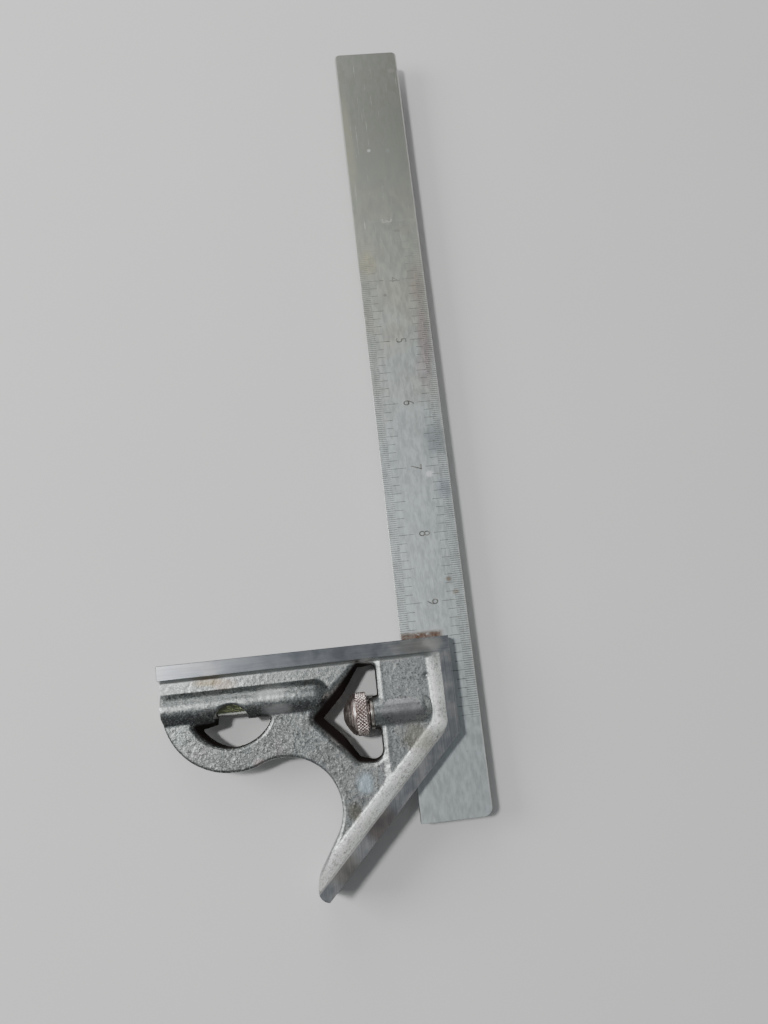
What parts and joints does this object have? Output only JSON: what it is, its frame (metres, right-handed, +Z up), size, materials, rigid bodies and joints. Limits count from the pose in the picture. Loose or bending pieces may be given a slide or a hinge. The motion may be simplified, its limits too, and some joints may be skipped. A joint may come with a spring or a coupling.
{
  "type": "combination square",
  "caption": "Combination square: cast head with square and mitre faces, sliding graduated steel blade, knurled clamp nut on a hook bolt and a spirit level in the head.",
  "frame": {"origin": "centre of the bounding box, on the flat side of the head that the square lies on", "axes": "+X across the blade from the head's free end to the blade, +Y along the blade from its lower end to its far end, +Z up from the side the head lies on"},
  "size_m": [0.1112, 0.3248, 0.019],
  "materials": {
    "cast_iron_head": "bare grey casting with ground rims",
    "blade_steel": "satin, worn, etched graduations",
    "bolt_steel": "turned, dull",
    "nut_steel": "knurled, lightly rusted",
    "washer_steel": "dark, lightly rusted",
    "spring_steel": "oiled",
    "vial_glass": "clear",
    "vial_spirit": "yellow-green liquid",
    "vial_seal": "matt",
    "bedding_plaster": "matt plaster",
    "plug_brass": "dull"
  },
  "bodies": {
    "head": {"head_casting": "cast_iron_head", "clamp_washer": "washer_steel", "clamp_spring": "spring_steel", "vial_tube": "vial_glass", "vial_stopper": "vial_seal", "vial_liquid": "vial_spirit", "vial_bedding": "bedding_plaster", "vial_end_plug": "plug_brass"},
    "blade": {"blade": "blade_steel"},
    "bolt": {"clamp_bolt": "bolt_steel"},
    "nut": {"clamp_nut": "nut_steel"}
  },
  "joints": [
    {"name": "blade_slide", "type": "slide", "parent": "head", "child": "blade", "axis": [0, 1, 0], "range_m": [-0.2416, 0.035]},
    {"name": "nut_turn", "type": "hinge", "parent": "head", "child": "nut", "pos_m": [0.0129, -0.10301, 0.0095], "axis": [-1, 0, 0], "range_deg": [0, 360]},
    {"name": "bolt_draw", "type": "slide", "parent": "head", "child": "bolt", "axis": [1, 0, 0], "range_m": [0, 0.00081]}
  ],
  "couplings": [
    {"joint": "bolt_draw", "follows": "nut_turn", "m_per_rad": 0.0001273}
  ]
}
